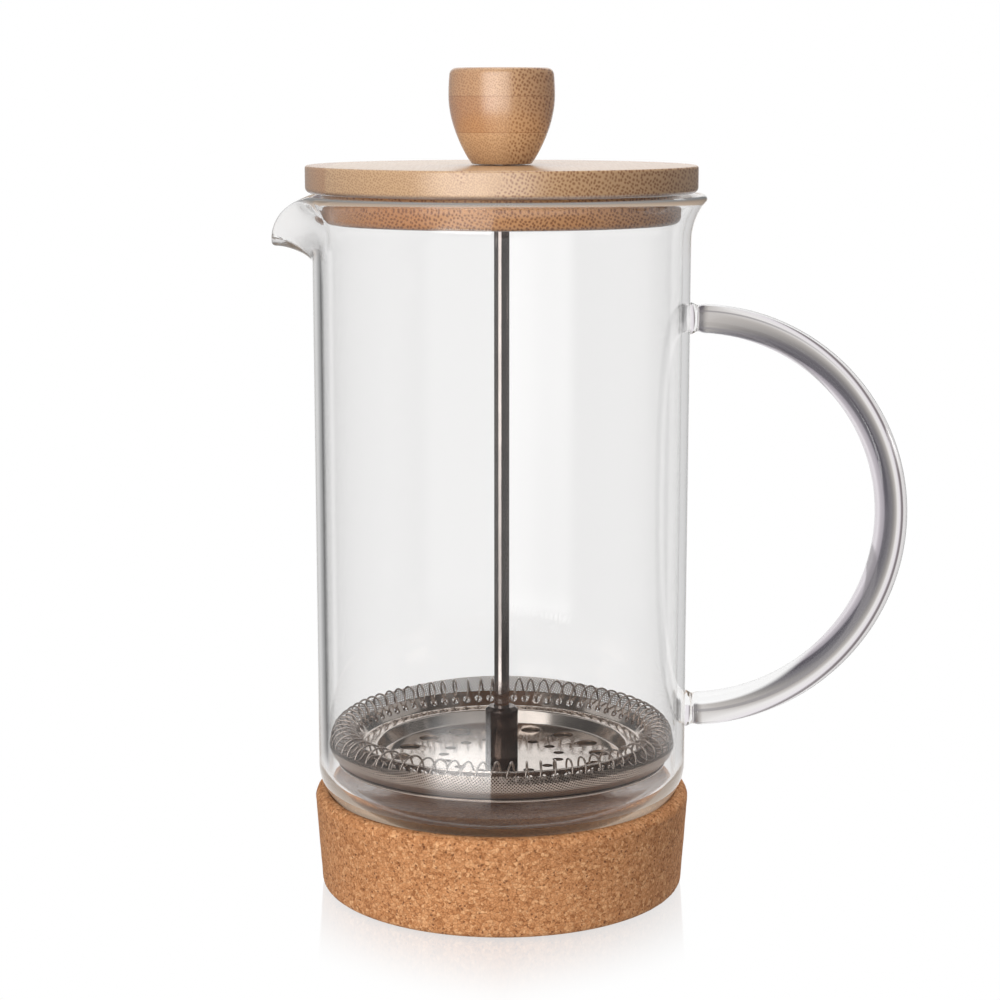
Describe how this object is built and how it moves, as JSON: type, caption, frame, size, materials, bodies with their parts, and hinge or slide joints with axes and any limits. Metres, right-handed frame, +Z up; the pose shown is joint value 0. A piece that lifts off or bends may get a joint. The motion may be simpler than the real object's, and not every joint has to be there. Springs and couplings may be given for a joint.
{
  "type": "french press",
  "caption": "Plunger coffee maker with a straight glass beaker, glass loop handle, bamboo lid and knob, steel filter and a cork base.",
  "frame": {"origin": "centre of the cork base's underside, on the surface the press stands on", "axes": "+Z up along the beaker and the plunger rod, +X towards the handle, -X towards the spout"},
  "size_m": [0.1699, 0.108, 0.2202],
  "materials": {
    "cork": "matte agglomerated cork",
    "glass": "clear borosilicate glass",
    "bamboo": "satin lacquered laminated bamboo",
    "bamboo_plug": "satin laminated bamboo, redder strips",
    "bamboo_knob": "satin turned laminated bamboo",
    "insert_steel": "zinc plated steel",
    "rod_steel": "polished stainless steel",
    "collar_steel": "turned stainless steel",
    "plate_steel": "bright pressed stainless steel",
    "spring_steel": "stainless spring wire",
    "mesh_steel": "fine woven stainless mesh"
  },
  "bodies": {
    "base": {"cork_base": "cork"},
    "beaker": {"glass_beaker": "glass", "glass_handle": "glass"},
    "lid": {"lid_disc": "bamboo", "lid_plug": "bamboo_plug"},
    "plunger": {"knob": "bamboo_knob", "knob_insert": "insert_steel", "plunger_rod": "rod_steel", "rod_collar": "collar_steel", "spring_plate": "plate_steel", "seal_spring": "spring_steel", "filter_mesh": "mesh_steel", "cross_plate": "plate_steel", "cross_plate_nut": "collar_steel"}
  },
  "joints": [
    {"name": "beaker_lift", "type": "slide", "parent": "base", "child": "beaker", "axis": [0, 0, 1], "range_m": [0, 0.03]},
    {"name": "lid_lift", "type": "slide", "parent": "beaker", "child": "lid", "axis": [0, 0, 1], "range_m": [0, 0.16]},
    {"name": "plunger_slide", "type": "slide", "parent": "lid", "child": "plunger", "axis": [0, 0, 1], "range_m": [0, 0.131]}
  ]
}
